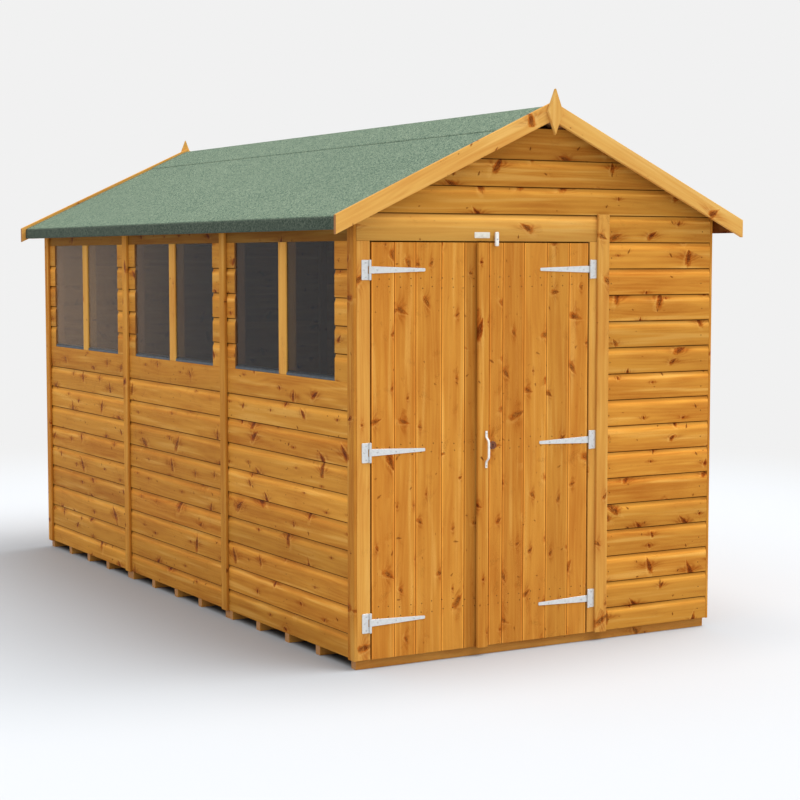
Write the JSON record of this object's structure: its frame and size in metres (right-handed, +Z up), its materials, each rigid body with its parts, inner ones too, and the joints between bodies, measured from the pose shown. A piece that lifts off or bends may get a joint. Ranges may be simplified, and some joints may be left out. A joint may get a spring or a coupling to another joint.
{
  "type": "garden shed",
  "caption": "Long timber apex garden shed: shiplap walls, paned windows down one side, hinged ledged doors at the left of the gable front and a green felt roof.",
  "frame": {"origin": "middle of the footprint, on the ground under the bearers", "axes": "+X along the front gable from the window side to the plain side, +Y from the front gable with the doors to the rear gable, +Z up"},
  "size_m": [1.995, 3.762, 2.2964],
  "materials": {
    "cladding": "honey-stained softwood, satin",
    "door_boards": "honey-stained softwood, satin",
    "trim": "pale planed softwood, satin",
    "framing": "bare planed softwood",
    "floor": "bare softwood boards",
    "bearers": "rough sawn softwood",
    "roof_boards": "rough sawn softwood",
    "felt": "green mineral granules",
    "zinc": "bright zinc plating",
    "handle": "white paint",
    "escutcheon": "brown, matt",
    "tag": "blank plate",
    "sill": "slate blue glazing strip",
    "glazing": "clear sheet"
  },
  "bodies": {
    "shed": {"floor_bearers": "bearers", "floor_boards": "floor", "left_wall_front": "cladding", "left_wall_middle": "cladding", "left_wall_rear": "cladding", "right_wall": "cladding", "rear_wall": "cladding", "front_wall": "cladding", "front_gable": "cladding", "rear_gable": "cladding", "door_header": "cladding", "door_post_left": "trim", "door_post_right": "trim", "left_frame": "framing", "right_frame": "framing", "front_frame": "framing", "rear_frame": "framing", "window_mullions": "trim", "window_sills": "sill", "window_glass": "glazing", "left_strips": "trim", "right_strips": "trim", "end_strips": "trim", "roof_left": "roof_boards", "roof_right": "roof_boards", "felt_left": "felt", "felt_right": "felt", "ridge_felt": "felt", "roof_battens": "roof_boards", "left_bargeboards": "trim", "right_bargeboards": "trim", "finials": "trim", "hinge_plates": "zinc", "blank_plate": "tag"},
    "left_door": {"left_door_boards": "door_boards", "left_door_ledges": "framing", "left_door_straps": "zinc"},
    "right_door": {"right_door_boards": "door_boards", "right_door_ledges": "framing", "right_door_straps": "zinc", "overlap_strip": "trim", "door_handle": "handle", "key_escutcheon": "escutcheon"},
    "turn_button": {"turn_button": "trim"}
  },
  "joints": [
    {"name": "left_door", "type": "hinge", "parent": "shed", "child": "left_door", "pos_m": [-0.8155, -1.8035, 0.858], "axis": [0, 0, -1], "range_deg": [0, 150]},
    {"name": "right_door", "type": "hinge", "parent": "shed", "child": "right_door", "pos_m": [0.2345, -1.8035, 0.858], "axis": [0, 0, 1], "range_deg": [0, 150]},
    {"name": "turn_button", "type": "hinge", "parent": "shed", "child": "turn_button", "pos_m": [-0.2355, -1.798, 1.692], "axis": [0, 1, 0], "range_deg": [0, 90]}
  ]
}
